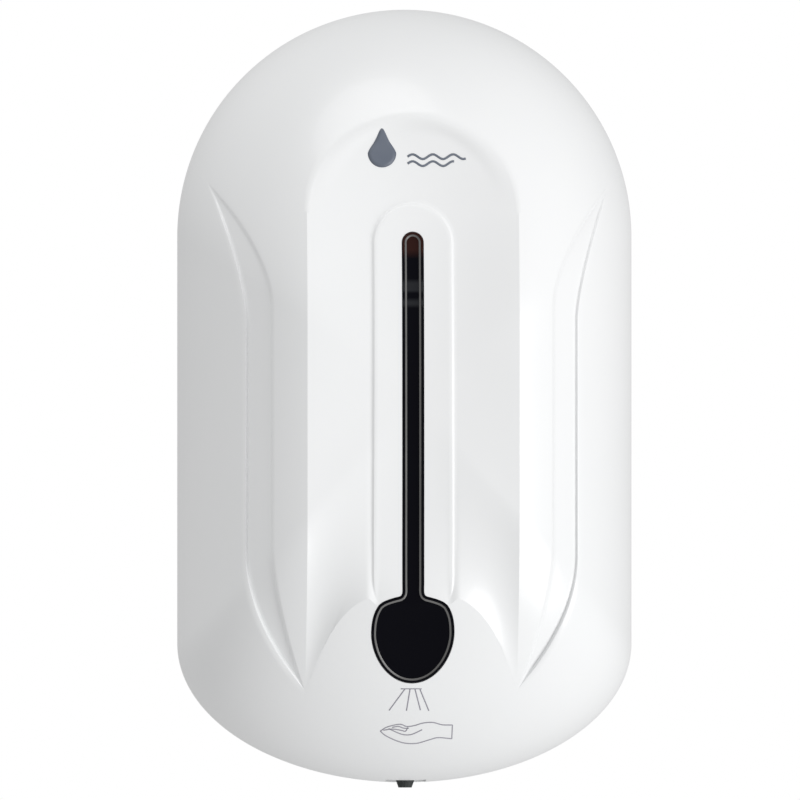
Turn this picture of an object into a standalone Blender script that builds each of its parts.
"""Wall mounted touchless soap dispenser.

The wall plane is y = 0, the front faces -Y, +X is to the viewer's right and +Z is up.
The origin is the middle of the back plate's rear face. Dimensions are in millimetres
and become metres when a mesh is made.
"""

import math

import bmesh
import bpy
from mathutils import Matrix, Vector

MM = 0.001
GAP = 0.3

# Casing: a round top, straight sides and a shallow elliptic bottom.
HALF_WIDTH = 78.5
TOP_CENTRE_Z = 55.5
BOTTOM_CENTRE_Z = -86.0
BOTTOM_DROP = 48.0
PLATE_THICK = 4.0
RIM_Y = PLATE_THICK + 0.5
RIM_STRAIGHT = 12.0
DOME_DEPTH = 95.0
DOME_POWER = 2.5
COVER_WALL = 2.5

# The sunk arch in the cover's front.
ARCH_RADIUS = 36.5
ARCH_CENTRE_Z = 63.0
ARCH_SINK = 12.0
ARCH_SOFT_WIDTH = 8.0
CHIN_TIP_Z = -102.0
CHIN_RISE = 37.0
CHIN_POWER = 2.3
CHIN_FADE = 22.0

# The smoked lens: a strip that widens into a drop.
STRIP_HALF_WIDTH = 3.8
STRIP_TOP_Z = 56.8
DROP_HALF_WIDTH = 14.6
DROP_WIDEST_Z = -81.5
DROP_TOP_Z = -68.0
DROP_BOTTOM_Z = -99.6
LENS_THICK = 3.0

# The cover's hinge at the bottom of the back plate.
HINGE_Y = -12.5
HINGE_Z = -123.2
HINGE_LUG_RADIUS = 3.5
HINGE_PIN_RADIUS = 1.5
LUG_X = (24.0, 28.0)
EAR_X = (28.6, 33.0)
RIM_NOTCH_X = 47.0

# The lock at the top of the cover.
LOCK_Y = -13.5
LOCK_RADIUS = 4.0
CAM_Z = (117.0, 119.5)
CAM_HOOK = (6.3, 8.5)

# Tank with a filler neck.
TANK_Z = (-28.0, 86.0)
TANK_BACK_Y = -6.0
TANK_INSET = 2.5
TANK_WALL = 2.0
TANK_MAX_X = 62.0
NECK_HALF_X = 20.0
NECK_Y = (-58.0, -34.0)
NECK_TOP_Z = 91.0
LID_HINGE_Y = -30.6
LID_HINGE_Z = 92.6
LID_THICK = 2.5
OUTLET_X = 46.0
OUTLET_Y = -54.0

# Pump, gear train and motor. Gears are module 1, so centres are 20 mm apart.
MODULE = 1.0
BIG_TEETH = 30
SMALL_TEETH = 10
CENTRE_GAP = MODULE * (BIG_TEETH + SMALL_TEETH) / 2
PUMP_X = 18.0
PUMP_Z = -60.0
IDLER_X = PUMP_X + CENTRE_GAP
MOTOR_X = IDLER_X + CENTRE_GAP
OUTPUT_GEAR_Y = (-44.6, -40.8)
FIRST_STAGE_Y = (-39.8, -36.0)
PUMP_Y = (-60.0, -47.0)
PUMP_RADIUS = 24.0
TRACK_RADIUS = 18.6
SQUEEZED_TUBE = (15.3, 18.3)
ROLLER_RADIUS = 4.0
ROLLER_ORBIT = 11.0
TUBE_RADIUS = 3.0
MOTOR_RADIUS = 12.0

# Nozzle.
NOZZLE_Y = -20.0
NOZZLE_Z = (-131.0, -98.0)
NOZZLE_BORE = 1.6
VALVE_TIP_Z = -135.4

# Four C cells stand two by two in a box to the left of the pump.
CELL_RADIUS = 13.1
CELL_LENGTH = 48.0
CELL_PITCH = 26.8
CELL_X = (-49.4, -22.6)
CELL_Y = (-20.0, -46.8)
BOX_X = (-64.2, -7.8)
BOX_Y = (-61.0, -4.3)
BOX_Z = (-88.0, -32.2)
BOX_WALL = 1.2

# Sensor board behind the drop of the lens.
BOARD_Y = (-76.0, -74.4)


# ---------------------------------------------------------------- scene and materials

def clear_scene():
    for old in list(bpy.data.objects):
        bpy.data.objects.remove(old, do_unlink=True)


def new_collection(name):
    made = bpy.data.collections.new(name)
    bpy.context.scene.collection.children.link(made)
    return made


clear_scene()
PARTS = new_collection("wall_soap_dispenser")
CUTTERS = new_collection("cutters")


def plain_material(name, colour, roughness, metallic=0.0):
    made = bpy.data.materials.new(name)
    made.use_nodes = True
    shader = made.node_tree.nodes["Principled BSDF"]
    shader.inputs["Base Color"].default_value = (*colour, 1.0)
    shader.inputs["Roughness"].default_value = roughness
    shader.inputs["Metallic"].default_value = metallic
    return made


WHITE_ABS = plain_material("white_abs", (0.86, 0.87, 0.88), 0.22)
GREY_ABS = plain_material("grey_abs", (0.55, 0.57, 0.58), 0.4)
SMOKED = plain_material("smoked_lens", (0.01, 0.01, 0.015), 0.06)
STEEL = plain_material("steel", (0.62, 0.63, 0.65), 0.3, 1.0)
BRASS = plain_material("brass", (0.75, 0.6, 0.3), 0.3, 1.0)
CLEAR_PP = plain_material("clear_pp", (0.8, 0.84, 0.86), 0.3)
RUBBER = plain_material("rubber", (0.03, 0.035, 0.035), 0.7)
SILICONE = plain_material("silicone", (0.78, 0.74, 0.66), 0.5)
ACETAL = plain_material("acetal", (0.9, 0.89, 0.84), 0.35)
CELL_SKIN = plain_material("cell_skin", (0.08, 0.09, 0.11), 0.35)
BOARD_GREEN = plain_material("board_green", (0.03, 0.2, 0.09), 0.45)
DARK_ABS = plain_material("dark_abs", (0.04, 0.045, 0.05), 0.4)


# ---------------------------------------------------------------- modelling helpers

def finish_mesh(name, work, material, collection=None, smooth=True):
    bmesh.ops.recalc_face_normals(work, faces=work.faces)
    mesh = bpy.data.meshes.new(name)
    work.to_mesh(mesh)
    work.free()
    if smooth:
        mesh.shade_smooth()
        mesh.set_sharp_from_angle(angle=math.radians(35))
    made = bpy.data.objects.new(name, mesh)
    (collection or PARTS).objects.link(made)
    if material:
        mesh.materials.append(material)
    return made


def as_cutter(made):
    """Turn an object into a cutter, hidden in renders and drawn as wire."""
    for owner in list(made.users_collection):
        owner.objects.unlink(made)
    CUTTERS.objects.link(made)
    made.hide_render = True
    made.display_type = "WIRE"
    return made


def boolean(target, tool, operation):
    as_cutter(tool)
    step = target.modifiers.new(operation.lower() + "_" + tool.name, "BOOLEAN")
    step.operation = operation
    step.solver = "EXACT"
    step.object = tool
    return target


def cut(target, *tools):
    for tool in tools:
        boolean(target, tool, "DIFFERENCE")
    return target


def fuse(target, *tools):
    for tool in tools:
        boolean(target, tool, "UNION")
    return target


def box(name, x, y, z, material=None, bevel=0.0):
    """A box between two values along each axis, in millimetres."""
    work = bmesh.new()
    bmesh.ops.create_cube(work, size=1.0)
    size = Vector((x[1] - x[0], y[1] - y[0], z[1] - z[0])) * MM
    middle = Vector((x[0] + x[1], y[0] + y[1], z[0] + z[1])) * 0.5 * MM
    for vert in work.verts:
        vert.co = Vector(a * b for a, b in zip(vert.co, size)) + middle
    made = finish_mesh(name, work, material, smooth=False)
    if bevel:
        rounding = made.modifiers.new("rounding", "BEVEL")
        rounding.width = bevel * MM
        rounding.segments = 1
        rounding.limit_method = "ANGLE"
    return made


AXIS_TURN = {
    "X": Matrix.Rotation(math.radians(90), 4, "Y"),
    "Y": Matrix.Rotation(math.radians(-90), 4, "X"),
    "Z": Matrix.Identity(4),
}


def cylinder(name, axis, middle, span, radius, material=None, sides=24, tip_radius=None):
    """A cylinder or cone along one axis. middle gives the other two coordinates in order."""
    low, high = span
    work = bmesh.new()
    far_radius = radius if tip_radius is None else tip_radius
    bmesh.ops.create_cone(
        work, cap_ends=True, segments=sides, radius1=radius * MM, radius2=far_radius * MM,
        depth=(high - low) * MM)
    bmesh.ops.transform(work, matrix=AXIS_TURN[axis], verts=work.verts)
    at = list(middle)
    at.insert("XYZ".index(axis), (low + high) / 2)
    bmesh.ops.translate(work, vec=Vector(at) * MM, verts=work.verts)
    return finish_mesh(name, work, material)


def prism(name, outline, axis, span, material=None):
    """A flat outline given in the other two coordinates, extruded along one axis."""
    low, high = span
    work = bmesh.new()
    row = []
    for first, second in outline:
        at = [first, second]
        at.insert("XYZ".index(axis), low)
        row.append(work.verts.new(Vector(at) * MM))
    face = work.faces.new(row)
    grown = bmesh.ops.extrude_face_region(work, geom=[face])
    lift = [0.0, 0.0, 0.0]
    lift["XYZ".index(axis)] = (high - low) * MM
    moved = [item for item in grown["geom"] if isinstance(item, bmesh.types.BMVert)]
    bmesh.ops.translate(work, vec=Vector(lift), verts=moved)
    return finish_mesh(name, work, material)


def turned(name, profile, x, y, material, sides=20):
    """A profile of (radius, z) turned about a vertical axis. It is a closed loop whose
    outer side runs down."""
    mesh = bpy.data.meshes.new(name)
    points = [(radius * MM, 0.0, z * MM) for radius, z in profile]
    edges = [(i, (i + 1) % len(points)) for i in range(len(points))]
    mesh.from_pydata(points, edges, [])
    made = bpy.data.objects.new(name, mesh)
    PARTS.objects.link(made)
    made.location = (x * MM, y * MM, 0.0)
    mesh.materials.append(material)
    sweep = made.modifiers.new("turn", "SCREW")
    sweep.steps = sides
    sweep.render_steps = sides
    sweep.use_merge_vertices = True
    sweep.merge_threshold = 0.00001
    sweep.use_smooth_shade = True
    return made


def hose(name, points, radius, material):
    """A flexible tube along a smooth route through a few points."""
    route = smooth_route([Vector(p) * MM for p in points], steps=5)
    curve = bpy.data.curves.new(name, "CURVE")
    curve.dimensions = "3D"
    curve.bevel_depth = radius * MM
    curve.bevel_resolution = 2
    curve.use_fill_caps = True
    spline = curve.splines.new("POLY")
    spline.points.add(len(route) - 1)
    for target, place in zip(spline.points, route):
        target.co = (*place, 1.0)
    made = bpy.data.objects.new(name, curve)
    PARTS.objects.link(made)
    curve.materials.append(material)
    return made


def smooth_route(points, steps):
    """Catmull-Rom points through the given ones."""
    padded = [points[0] * 2 - points[1], *points, points[-1] * 2 - points[-2]]
    route = []
    for i in range(1, len(padded) - 2):
        before, start, end, after = padded[i - 1:i + 3]
        for k in range(steps):
            t = k / steps
            route.append(0.5 * (
                2 * start + (end - before) * t
                + (2 * before - 5 * start + 4 * end - after) * t ** 2
                + (3 * start - before - 3 * end + after) * t ** 3))
    route.append(points[-1])
    return route


# ---------------------------------------------------------------- casing shape

def casing_outline(count):
    """Points round the casing's outline, anticlockwise from the right, top first."""
    quarter = count // 4
    points = []
    for i in range(2 * quarter):
        angle = math.pi * i / (2 * quarter)
        points.append((HALF_WIDTH * math.cos(angle), TOP_CENTRE_Z + HALF_WIDTH * math.sin(angle)))
    side = TOP_CENTRE_Z - BOTTOM_CENTRE_Z
    steps = quarter // 2
    for i in range(steps):
        points.append((-HALF_WIDTH, TOP_CENTRE_Z - side * i / steps))
    for i in range(2 * quarter):
        angle = math.pi + math.pi * i / (2 * quarter)
        points.append((HALF_WIDTH * math.cos(angle), BOTTOM_CENTRE_Z + BOTTOM_DROP * math.sin(angle)))
    for i in range(steps):
        points.append((HALF_WIDTH, BOTTOM_CENTRE_Z + side * i / steps))
    return points


def outline_level(x, z):
    """Below 1 inside the casing's outline, above 1 outside."""
    if z > TOP_CENTRE_Z:
        return math.hypot(x, z - TOP_CENTRE_Z) / HALF_WIDTH
    if z < BOTTOM_CENTRE_Z:
        return math.hypot(x / HALF_WIDTH, (z - BOTTOM_CENTRE_Z) / BOTTOM_DROP)
    return abs(x) / HALF_WIDTH


def outline_share(x, z):
    """How far a point is from the middle, as a share of the way to the outline."""
    low, high = 0.001, 1.0
    for _ in range(30):
        middle = (low + high) / 2
        if outline_level(x / middle, z / middle) > 1:
            low = middle
        else:
            high = middle
    return high


def arch_sink(x, z):
    """Depth of the sunk arch below the dome. Its rim is a crease at the sides and soft on top."""
    above = max(z - ARCH_CENTRE_Z, 0.0)
    reach = math.hypot(x, above) / ARCH_RADIUS
    if reach >= 1:
        return 0.0
    chin = CHIN_TIP_Z + CHIN_RISE * (1 - (abs(x) / ARCH_RADIUS) ** CHIN_POWER)
    if z <= chin:
        return 0.0
    depth = ARCH_SINK * (1 - reach ** 2) * (1 - math.exp((chin - z) / CHIN_FADE))
    softness = (above / (reach * ARCH_RADIUS)) ** 2 if reach > 0 else 0.0
    ease = min((1 - reach) * ARCH_RADIUS / ARCH_SOFT_WIDTH, 1.0)
    return depth * (1 - softness + softness * ease * ease * (3 - 2 * ease))


def dome_depth(share):
    return RIM_STRAIGHT + DOME_DEPTH * math.sqrt(max(1 - share ** DOME_POWER, 0.0))


def front_y(x, z):
    """The y of the cover's outer face."""
    return -RIM_Y - dome_depth(outline_share(x, z)) + arch_sink(x, z)


# ---------------------------------------------------------------- front cover

RING_SHARES = (1.0, 1.0, 0.985, 0.95, 0.9, 0.83, 0.75, 0.67, 0.58, 0.49, 0.4, 0.3, 0.2, 0.1)


def cover_shell():
    """The domed shell, lofted as rings from the rim to the middle of the front."""
    outline = casing_outline(40)
    work = bmesh.new()
    rings = []
    for number, share in enumerate(RING_SHARES):
        ring = []
        for x, z in outline:
            px, pz = x * share, z * share
            if number == 0:
                py = -RIM_Y
            elif number == 1:
                py = -RIM_Y - RIM_STRAIGHT
            else:
                py = -RIM_Y - dome_depth(share) + arch_sink(px, pz)
            ring.append(work.verts.new(Vector((px, py, pz)) * MM))
        rings.append(ring)
    middle = work.verts.new(Vector((0.0, front_y(0.0, 0.001), 0.0)) * MM)
    count = len(outline)
    for outer, inner in zip(rings, rings[1:]):
        for i in range(count):
            j = (i + 1) % count
            work.faces.new((outer[i], outer[j], inner[j], inner[i]))
    for i in range(count):
        work.faces.new((rings[-1][i], rings[-1][(i + 1) % count], middle))
    shell = finish_mesh("front_cover", work, WHITE_ABS)
    if shell.data.polygons[-1].normal.y > 0:
        shell.data.flip_normals()
    wall = shell.modifiers.new("wall", "SOLIDIFY")
    wall.thickness = COVER_WALL * MM
    wall.offset = -1.0
    wall.use_even_offset = False
    return shell


def lens_half_width(z):
    """Half the width of the lens at a height."""
    if z > STRIP_TOP_Z - STRIP_HALF_WIDTH:
        over = (z - STRIP_TOP_Z + STRIP_HALF_WIDTH) / STRIP_HALF_WIDTH
        return STRIP_HALF_WIDTH * math.sqrt(max(1 - over ** 2, 0.05))
    if z > DROP_TOP_Z:
        flare = math.exp((DROP_TOP_Z - z) / 2.5)
        return STRIP_HALF_WIDTH + 6.4 * flare
    if z > DROP_WIDEST_Z:
        rise = (z - DROP_WIDEST_Z) / (DROP_TOP_Z - DROP_WIDEST_Z)
        return DROP_HALF_WIDTH - 4.4 * rise ** 2.2
    fall = (DROP_WIDEST_Z - z) / (DROP_WIDEST_Z - DROP_BOTTOM_Z)
    return DROP_HALF_WIDTH * math.sqrt(max(1 - fall ** 2, 0.03))


LENS_HEIGHTS = (56.8, 55.8, 54.0, 30.0, 5.0, -20.0, -45.0, -60.0, -64.0, -66.5, -68.0, -71.0,
                -76.0, -81.5, -87.0, -92.0, -96.0, -98.6, -99.6)


def lens_body(name, grow, front, back, material=None):
    """The lens shape between two depths behind the cover's face, grown by a margin."""
    work = bmesh.new()
    rows = []
    for z in LENS_HEIGHTS:
        half = lens_half_width(z) + grow
        edge_z = z
        if z == LENS_HEIGHTS[0]:
            edge_z = z + grow
        if z == LENS_HEIGHTS[-1]:
            edge_z = z - grow
        face = front_y(0.0, z)
        corners = ((-half, face + front), (half, face + front), (half, face + back), (-half, face + back))
        rows.append([work.verts.new(Vector((x, y, edge_z)) * MM) for x, y in corners])
    for upper, lower in zip(rows, rows[1:]):
        for i in range(4):
            j = (i + 1) % 4
            work.faces.new((upper[i], upper[j], lower[j], lower[i]))
    work.faces.new(rows[0])
    work.faces.new(rows[-1])
    return finish_mesh(name, work, material, smooth=False)


def front_cover():
    cover = cover_shell()
    cut(
        cover,
        lens_body("lens_opening", GAP, -12.0, 12.0),
        box("nozzle_opening", (-7.0, 7.0), (-28.5, -11.0), (-140.0, -118.0)),
        box("rim_notch", (-RIM_NOTCH_X, RIM_NOTCH_X), (-13.0, 2.0), (-140.0, -112.0)),
        cylinder("lock_hole", "Z", (0.0, LOCK_Y), (126.0, 138.0), LOCK_RADIUS + GAP, sides=20))
    for side in (-1, 1):
        low, high = sorted((side * LUG_X[0], side * LUG_X[1]))
        tag = "left" if side < 0 else "right"
        web = box("cover_lug_web_" + tag, (low, high), (HINGE_Y - 3.4, HINGE_Y + 3.4),
                  (HINGE_Z - 7.2, HINGE_Z))
        eye = cylinder("cover_lug_eye_" + tag, "X", (HINGE_Y, HINGE_Z), (low, high),
                       HINGE_LUG_RADIUS, sides=16)
        hole = cylinder("cover_lug_hole_" + tag, "X", (HINGE_Y, HINGE_Z), (low - 1, high + 1),
                        HINGE_PIN_RADIUS + GAP, sides=12)
        fuse(cover, web, eye)
        cut(cover, hole)
    return cover


# ---------------------------------------------------------------- back plate and hinge

def back_plate():
    outline = [(x * 0.985, z * 0.985) for x, z in casing_outline(40)]
    plate = prism("back_plate", outline, "Y", (-PLATE_THICK, 0.0), WHITE_ABS)
    cut(plate, box("plate_notch", (-50.0, 50.0), (-9.0, 5.0), (-140.0, -113.0)))
    for side in (-1, 1):
        low, high = sorted((side * EAR_X[0], side * EAR_X[1]))
        tag = "left" if side < 0 else "right"
        foot = box("ear_foot_" + tag, (low, high), (-14.0, -2.0), (-121.0, -106.0))
        neck = box("ear_neck_" + tag, (low, high), (HINGE_Y - 3.4, HINGE_Y + 3.4), (HINGE_Z, -120.0))
        eye = cylinder("ear_eye_" + tag, "X", (HINGE_Y, HINGE_Z), (low, high),
                       HINGE_LUG_RADIUS, sides=16)
        hole = cylinder("ear_hole_" + tag, "X", (HINGE_Y, HINGE_Z), (low - 1, high + 1),
                        HINGE_PIN_RADIUS + GAP, sides=12)
        fuse(plate, foot, neck, eye)
        cut(plate, hole)
    for number, (x, z) in enumerate(((6.0, -47.0), (6.0, -73.0), (41.0, -47.0), (41.0, -73.0))):
        fuse(plate, cylinder(f"gearbox_boss_{number}", "Y", (x, z), (-31.9, -2.0), 3.0, sides=12))
    for number, (x, z) in enumerate(((-45.0, 112.0), (45.0, 112.0), (-60.0, -100.0), (60.0, -100.0))):
        cut(plate, cylinder(f"wall_screw_hole_{number}", "Y", (x, z), (-9.0, 5.0), 2.5, sides=12))
    return plate


def hinge_pins():
    for side, tag in ((-1, "left"), (1, "right")):
        span = sorted((side * (LUG_X[0] - 1.0), side * (EAR_X[1] + 1.0)))
        cylinder("hinge_pin_" + tag, "X", (HINGE_Y, HINGE_Z), span, HINGE_PIN_RADIUS, STEEL, 12)


# ---------------------------------------------------------------- lock

def arc(radius, start, end, count):
    """Points on an arc about the origin, angles in degrees."""
    points = []
    for i in range(count + 1):
        angle = math.radians(start + (end - start) * i / count)
        points.append((radius * math.cos(angle), radius * math.sin(angle)))
    return points


def lock():
    """A key barrel in the cover, a hooked cam on it and a strike on the back plate."""
    barrel = cylinder("lock_barrel", "Z", (0.0, LOCK_Y), (CAM_Z[1] + GAP, 133.6), LOCK_RADIUS,
                      STEEL, 20)
    cut(barrel, box("key_slot", (-2.4, 2.4), (LOCK_Y - 0.5, LOCK_Y + 0.5), (130.5, 136.0)))
    hook = arc(CAM_HOOK[1], -60.0, 10.0, 8) + arc(CAM_HOOK[0], 10.0, -42.0, 6)
    hub = arc(3.4, -42.0, 300.0, 14)
    outline = [(x, y + LOCK_Y) for x, y in hook + hub]
    prism("lock_cam", outline, "Z", CAM_Z, STEEL)
    strike = box("lock_strike", (-6.0, 6.0), (-9.4, -PLATE_THICK - GAP), (121.6, 123.6), STEEL)
    fuse(
        strike,
        box("strike_tab", (-1.6, 1.6), (-9.4, -8.2), (115.6, 122.0)),
        box("strike_foot", (-6.0, 6.0), (-PLATE_THICK - GAP - 0.9, -PLATE_THICK - GAP),
            (121.6, 127.4)))


# ---------------------------------------------------------------- tank

def tank_body(name, inset, back_y, z_low, z_high, max_x, material=None):
    """A closed body that follows the inside of the cover at a distance."""
    stations = 7
    across = 10
    work = bmesh.new()
    rows = []
    for i in range(stations + 1):
        z = z_low + (z_high - z_low) * i / stations
        half = max_x
        if z > TOP_CENTRE_Z:
            half = max_x * math.sqrt(1 - ((z - TOP_CENTRE_Z) / HALF_WIDTH) ** 2)
        row = [work.verts.new(Vector((-half, back_y, z)) * MM)]
        for k in range(across + 1):
            x = -half + 2 * half * k / across
            smooth_y = -RIM_Y - dome_depth(outline_share(x, z))
            row.append(work.verts.new(Vector((x, smooth_y + inset, z)) * MM))
        row.append(work.verts.new(Vector((half, back_y, z)) * MM))
        rows.append(row)
    count = len(rows[0])
    for lower, upper in zip(rows, rows[1:]):
        for i in range(count):
            j = (i + 1) % count
            work.faces.new((lower[i], lower[j], upper[j], upper[i]))
    work.faces.new(rows[0])
    work.faces.new(rows[-1])
    return finish_mesh(name, work, material)


def tank():
    shell = tank_body("tank", COVER_WALL + ARCH_SINK + TANK_INSET, TANK_BACK_Y, *TANK_Z,
                      TANK_MAX_X, CLEAR_PP)
    neck_x = (-NECK_HALF_X, NECK_HALF_X)
    outlet_middle = (OUTLET_X, OUTLET_Y)
    fuse(
        shell,
        box("neck_wall", neck_x, NECK_Y, (TANK_Z[1] - 2.5, NECK_TOP_Z)),
        cylinder("outlet_nipple", "Z", outlet_middle, (-33.4, TANK_Z[0] + 1.0), 4.0, sides=16))
    inside = tank_body("tank_inside", COVER_WALL + ARCH_SINK + TANK_INSET + TANK_WALL,
                       TANK_BACK_Y - TANK_WALL, TANK_Z[0] + TANK_WALL, TANK_Z[1] - TANK_WALL,
                       TANK_MAX_X - TANK_WALL)
    cut(
        shell,
        inside,
        box("neck_bore", (neck_x[0] + 1.8, neck_x[1] - 1.8), (NECK_Y[0] + 1.8, NECK_Y[1] - 1.8),
            (TANK_Z[1] - 8.0, NECK_TOP_Z + 5.0)),
        cylinder("outlet_bore", "Z", outlet_middle, (-36.0, TANK_Z[0] + 5.0), 2.5, sides=12))
    for side in (-1, 1):
        low, high = sorted((side * 16.0, side * 19.6))
        tag = "left" if side < 0 else "right"
        web = box("lid_post_" + tag, (low, high), (NECK_Y[1] + 1.0, LID_HINGE_Y + 1.6),
                  (NECK_TOP_Z - 6.0, LID_HINGE_Z))
        foot = box("lid_post_foot_" + tag, (low, high), (NECK_Y[1] - 1.0, LID_HINGE_Y + 1.6),
                   (NECK_TOP_Z - 6.0, NECK_TOP_Z - 1.0))
        eye = cylinder("lid_post_eye_" + tag, "X", (LID_HINGE_Y, LID_HINGE_Z), (low, high), 1.6,
                       sides=12)
        hole = cylinder("lid_post_hole_" + tag, "X", (LID_HINGE_Y, LID_HINGE_Z),
                        (low - 1, high + 1), 0.95, sides=8)
        fuse(shell, web, foot, eye)
        cut(shell, hole)
    return shell


def tank_lid():
    bottom = NECK_TOP_Z + 0.3
    lid = box("tank_lid", (-21.0, 21.0), (NECK_Y[0] - 1.4, NECK_Y[1] + 0.6),
              (bottom, bottom + LID_THICK), GREY_ABS)
    fuse(
        lid,
        box("lid_lip", (-8.0, 8.0), (NECK_Y[0] - 2.2, NECK_Y[0]), (bottom + 0.8, bottom + 2.0)),
        box("lid_arm", (-15.6, 15.6), (NECK_Y[1] - 1.0, LID_HINGE_Y), (bottom + 0.2, bottom + 2.2)),
        cylinder("lid_eye", "X", (LID_HINGE_Y, LID_HINGE_Z), (-15.6, 15.6), 1.6, sides=12))
    cut(lid, cylinder("lid_hole", "X", (LID_HINGE_Y, LID_HINGE_Z), (-17.0, 17.0), 0.95, sides=8))
    cylinder("lid_hinge_pin", "X", (LID_HINGE_Y, LID_HINGE_Z), (-19.4, 19.4), 0.65, STEEL, 8)
    gasket = box("lid_gasket", (-17.6, 17.6), (NECK_Y[0] + 2.4, NECK_Y[1] - 2.4),
                 (NECK_TOP_Z - 2.4, NECK_TOP_Z), SILICONE)
    cut(gasket, box("gasket_inside", (-15.6, 15.6), (NECK_Y[0] + 4.4, NECK_Y[1] - 4.4),
                    (NECK_TOP_Z - 5.0, NECK_TOP_Z + 5.0)))


def tank_shelf():
    shelf = box("tank_shelf", (-60.0, 60.0), (-66.0, -PLATE_THICK - GAP), (-31.0, -28.4), GREY_ABS)
    cut(shelf, cylinder("shelf_hole", "Z", (OUTLET_X, OUTLET_Y), (-40.0, -20.0), 6.6, sides=16))
    turned("tank_outlet_seal", [(4.3, -28.4), (6.2, -28.4), (6.2, -31.0), (4.3, -31.0)],
           OUTLET_X, OUTLET_Y, SILICONE, 16)


# ---------------------------------------------------------------- pump

def gear_outline(teeth, turn):
    """Straight-sided teeth with generous backlash, one tooth at the angle given."""
    pitch_radius = MODULE * teeth / 2
    tip = pitch_radius + 0.85 * MODULE
    root = pitch_radius - 1.15 * MODULE
    pitch = 360.0 / teeth
    points = []
    for i in range(teeth):
        middle = turn + pitch * i
        for share, radius in ((-0.25, root), (-0.08, tip), (0.08, tip), (0.25, root)):
            angle = math.radians(middle + pitch * share)
            points.append((radius * math.cos(angle), radius * math.sin(angle)))
    return points


def gear(name, x, teeth, turn, span, material):
    outline = [(x + px, PUMP_Z + pz) for px, pz in gear_outline(teeth, turn)]
    return prism(name, outline, "Y", span, material)


def gear_train():
    """Motor pinion, idler with a big and a small gear, and output gear on the rotor shaft."""
    half_big = 180.0 / BIG_TEETH
    output = gear("output_gear", PUMP_X, BIG_TEETH, 0.0, OUTPUT_GEAR_Y, ACETAL)
    cut(output, cylinder("output_bore", "Y", (PUMP_X, PUMP_Z), (-50.0, -34.0), 2.8, sides=12))
    cylinder("rotor_shaft", "Y", (PUMP_X, PUMP_Z), (-58.9, -35.4), 2.5, STEEL, 12)
    small_turn = 180.0 + 180.0 / SMALL_TEETH
    idler = gear("idler_gear", IDLER_X, BIG_TEETH, half_big, FIRST_STAGE_Y, ACETAL)
    low_y = (OUTPUT_GEAR_Y[0], FIRST_STAGE_Y[0] + 0.5)
    fuse(idler, gear("idler_small", IDLER_X, SMALL_TEETH, small_turn, low_y, None))
    cut(idler, cylinder("idler_bore", "Y", (IDLER_X, PUMP_Z), (-50.0, -34.0), 1.8, sides=12))
    cylinder("idler_shaft", "Y", (IDLER_X, PUMP_Z), (-44.8, -34.2), 1.5, STEEL, 12)
    pinion = gear("motor_pinion", MOTOR_X, SMALL_TEETH, 180.0, FIRST_STAGE_Y, BRASS)
    cut(pinion, cylinder("pinion_bore", "Y", (MOTOR_X, PUMP_Z), (-50.0, -34.0), 1.3, sides=10))


def gearbox():
    x = (PUMP_X - 18.0, MOTOR_X + 8.0)
    z = (PUMP_Z - 18.0, PUMP_Z + 18.0)
    housing = box("gearbox_housing", x, (-46.6, -33.8), z, DARK_ABS)
    cut(
        housing,
        box("gear_space", (x[0] + 1.5, x[1] - 1.5), (-45.1, -30.0), (z[0] + 1.5, z[1] - 1.5)),
        cylinder("rotor_shaft_hole", "Y", (PUMP_X, PUMP_Z), (-50.0, -40.0), 2.9, sides=12))
    cover = box("gearbox_cover", x, (-33.5, -32.2), z, DARK_ABS)
    cut(cover, cylinder("motor_nose_hole", "Y", (MOTOR_X, PUMP_Z), (-36.0, -30.0), 3.4, sides=12))
    motor = cylinder("motor", "Y", (MOTOR_X, PUMP_Z), (-31.8, -7.0), MOTOR_RADIUS, STEEL, 24)
    fuse(
        motor,
        cylinder("motor_nose", "Y", (MOTOR_X, PUMP_Z), (-33.2, -31.0), 3.0, sides=12),
        cylinder("motor_shaft", "Y", (MOTOR_X, PUMP_Z), (-39.8, -31.0), 1.0, sides=10),
        cylinder("motor_boss", "Y", (MOTOR_X, PUMP_Z), (-7.5, -5.2), 4.0, sides=12))


def pump():
    middle = (PUMP_X, PUMP_Z)
    housing = cylinder("pump_housing", "Y", middle, PUMP_Y, PUMP_RADIUS, GREY_ABS, 32)
    cut(
        housing,
        cylinder("pump_track", "Y", middle, (-65.0, -48.5), TRACK_RADIUS, sides=32),
        cylinder("pump_shaft_hole", "Y", middle, (-49.0, -40.0), 2.9, sides=12))
    for side in (-1, 1):
        tag = "in" if side > 0 else "out"
        z = sorted((PUMP_Z + side * 14.6, PUMP_Z + side * 18.7))
        cut(housing, box("tube_gate_" + tag, (PUMP_X + 1.0, PUMP_X + 30.0), (-65.0, -50.2), z))
    cover = cylinder("pump_cover", "Y", middle, (-61.9, -60.3), PUMP_RADIUS, CLEAR_PP, 32)
    cut(cover, cylinder("cover_shaft_hole", "Y", middle, (-65.0, -55.0), 2.9, sides=12))
    inner, outer = SQUEEZED_TUBE
    straight = 20.0
    outline = [(straight, outer), *arc(outer, 90.0, 270.0, 20), (straight, -outer)]
    outline += [(straight, -inner), *arc(inner, 270.0, 90.0, 20), (straight, inner)]
    placed = [(x + PUMP_X, z + PUMP_Z) for x, z in outline]
    prism("pump_tube", placed, "Y", (-58.0, -50.8), SILICONE)


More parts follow.
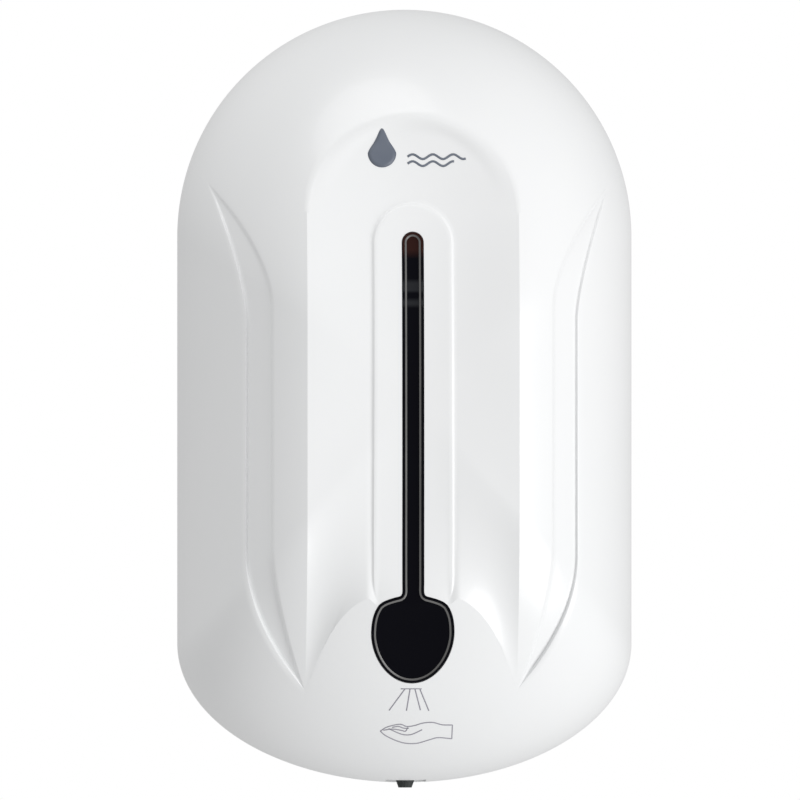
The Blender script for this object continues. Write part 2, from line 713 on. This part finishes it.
def pump_rotor():
    middle = (PUMP_X, PUMP_Z)
    rotor = cylinder("pump_rotor", "Y", middle, (-50.4, -48.8), 14.6, ACETAL, 32)
    fuse(rotor, cylinder("rotor_hub", "Y", middle, (-58.6, -50.0), 5.2, sides=20))
    cut(rotor, cylinder("rotor_bore", "Y", middle, (-65.0, -45.0), 2.8, sides=12))
    for number in range(3):
        angle = math.radians(90.0 + 120.0 * number)
        at = (PUMP_X + ROLLER_ORBIT * math.cos(angle), PUMP_Z + ROLLER_ORBIT * math.sin(angle))
        fuse(rotor, cylinder(f"roller_pin_{number + 1}", "Y", at, (-58.4, -50.0), 1.2, sides=10))
        roller = cylinder(f"pump_roller_{number + 1}", "Y", at, (-58.0, -50.8), ROLLER_RADIUS,
                          ACETAL, 20)
        cut(roller, cylinder(f"roller_bore_{number + 1}", "Y", at, (-62.0, -45.0), 1.5, sides=12))


def hoses():
    """The tube from the tank to the pump and the tube from the pump to the nozzle."""
    hose("inlet_tube", ((OUTLET_X, OUTLET_Y, -33.8), (OUTLET_X, OUTLET_Y, -37.0),
                        (44.6, -54.2, -41.0), (41.6, -54.4, -43.0), (38.4, -54.4, -43.2)),
         TUBE_RADIUS, SILICONE)
    hose("outlet_tube", ((38.4, -54.4, -76.8), (42.0, -54.4, -77.6), (44.6, -53.6, -81.5),
                         (42.0, -52.0, -86.5), (34.0, -48.0, -89.5), (22.0, -36.6, -90.2),
                         (6.0, -24.2, -90.2), (1.0, -20.7, -92.6), (0.0, NOZZLE_Y, -95.4),
                         (0.0, NOZZLE_Y, -97.4)),
         TUBE_RADIUS, SILICONE)


# ---------------------------------------------------------------- nozzle

def nozzle():
    low, high = NOZZLE_Z
    turned("nozzle", [(NOZZLE_BORE, high), (5.0, high), (5.0, high - 4.0), (4.2, high - 5.0),
                      (4.2, low + 4.0), (3.4, low), (NOZZLE_BORE, low)], 0.0, NOZZLE_Y, DARK_ABS)
    turned("duckbill_valve", [(0.5, low - GAP), (3.3, low - GAP), (3.3, low - 1.6),
                              (2.3, VALVE_TIP_Z), (0.5, VALVE_TIP_Z)], 0.0, NOZZLE_Y, RUBBER, 16)
    arm = box("nozzle_bracket", (-9.0, 9.0), (NOZZLE_Y - 7.5, -PLATE_THICK - GAP),
              (-108.0, -103.6), GREY_ABS)
    fuse(arm, box("bracket_foot", (-9.0, 9.0), (-6.4, -PLATE_THICK - GAP), (-111.0, -94.0)))
    cut(arm, cylinder("bracket_hole", "Z", (0.0, NOZZLE_Y), (-115.0, -95.0), 4.6, sides=20))


# ---------------------------------------------------------------- batteries

def battery_box():
    case = box("battery_box", BOX_X, BOX_Y, BOX_Z, WHITE_ABS)
    cut(case, box("battery_space", (BOX_X[0] + BOX_WALL, BOX_X[1] - BOX_WALL),
                  (BOX_Y[0] - 5.0, BOX_Y[1] - BOX_WALL), (BOX_Z[0] + BOX_WALL, BOX_Z[1] - BOX_WALL)))
    door = box("battery_door", (BOX_X[0] + 1.6, BOX_X[1] - 1.6), (-62.8, -61.3),
               (BOX_Z[0] + 0.6, BOX_Z[1] - 0.6), WHITE_ABS, 0.5)
    fuse(door, box("door_latch", (-42.0, -30.0), (-64.0, -61.6), (-38.4, -35.4)))


def batteries():
    """Four cells, each with a raised positive cap, a spring below and a contact above."""
    low = BOX_Z[0] + BOX_WALL
    number = 0
    for x in CELL_X:
        for y in CELL_Y:
            number += 1
            base = low + 3.2
            cell = cylinder(f"battery_{number}", "Z", (x, y), (base, base + CELL_LENGTH - 1.5),
                            CELL_RADIUS, CELL_SKIN, 24)
            fuse(cell, cylinder(f"cell_cap_{number}", "Z", (x, y),
                                (base + CELL_LENGTH - 2.0, base + CELL_LENGTH), 3.3, sides=12))
            cylinder(f"battery_spring_{number}", "Z", (x, y), (low + GAP, base - GAP), 5.0, STEEL,
                     16, tip_radius=3.4)
    for tag, y in (("rear", CELL_Y[0]), ("front", CELL_Y[1])):
        box("battery_contact_" + tag, (CELL_X[0] - 5.0, CELL_X[1] + 5.0), (y - 4.0, y + 4.0),
            (low + 3.2 + CELL_LENGTH + GAP, BOX_Z[1] - BOX_WALL - GAP), STEEL)


# ---------------------------------------------------------------- sensor and switch

def sensor_board():
    board = box("sensor_board", (-13.0, 17.0), BOARD_Y, (-96.0, -64.0), BOARD_GREEN)
    fuse(board, box("sensor_chip", (-3.0, 5.0), (-78.0, -75.5), (-94.0, -89.0)))
    for number, (x, z) in enumerate(((12.0, -67.5), (9.0, -78.0))):
        cylinder(f"board_standoff_{number + 1}", "Y", (x, z), (-74.1, -62.2), 2.4, STEEL, 12)
    for name, x, z, radius in (("infrared_emitter", -5.5, -83.0, 2.5),
                               ("infrared_receiver", 5.5, -83.0, 2.5),
                               ("status_light", 0.0, -74.5, 1.5)):
        lamp = cylinder(name, "Y", (x, z), (-85.0, -76.3), radius, SMOKED, 16)
        fuse(lamp, cylinder(name + "_tip", "Y", (x, z), (-86.6, -84.5), radius * 0.55, sides=12,
                            tip_radius=radius * 0.9))


def power_switch():
    case = box("switch_body", (45.0, 61.0), (-52.4, -46.9), (-71.0, -63.0), DARK_ABS)
    cut(case, box("switch_slot", (48.0, 58.0), (-56.0, -49.4), (-69.0, -65.0)))
    box("switch_knob", (48.4, 53.4), (-55.4, -49.8), (-68.6, -65.4), WHITE_ABS, 0.4)


def screw(name, x, z, under_y, head_radius):
    """A slotted screw head with its face towards the front."""
    head = cylinder(name, "Y", (x, z), (under_y - 1.6, under_y), head_radius, STEEL, 12)
    cut(head, box(name + "_slot", (x - 4, x + 4), (under_y - 3.0, under_y - 1.0), (z - 0.35, z + 0.35)))


def screws():
    for number, z in enumerate((PUMP_Z + 14.4, PUMP_Z - 14.4)):
        screw(f"gearbox_screw_{number + 1}", MOTOR_X + 4.4, z, -46.9, 2.6)
    for number, degrees in enumerate((0.0, 135.0, 225.0)):
        angle = math.radians(degrees)
        x = PUMP_X + 21.3 * math.cos(angle)
        screw(f"pump_screw_{number + 1}", x, PUMP_Z + 21.3 * math.sin(angle), -62.2, 2.0)


def build():
    back_plate()
    front_cover()
    lens_body("window_lens", 0.0, 0.1, LENS_THICK, SMOKED)
    hinge_pins()
    lock()
    tank()
    tank_lid()
    tank_shelf()
    gear_train()
    gearbox()
    pump()
    pump_rotor()
    hoses()
    nozzle()
    battery_box()
    batteries()
    sensor_board()
    power_switch()
    screws()


build()
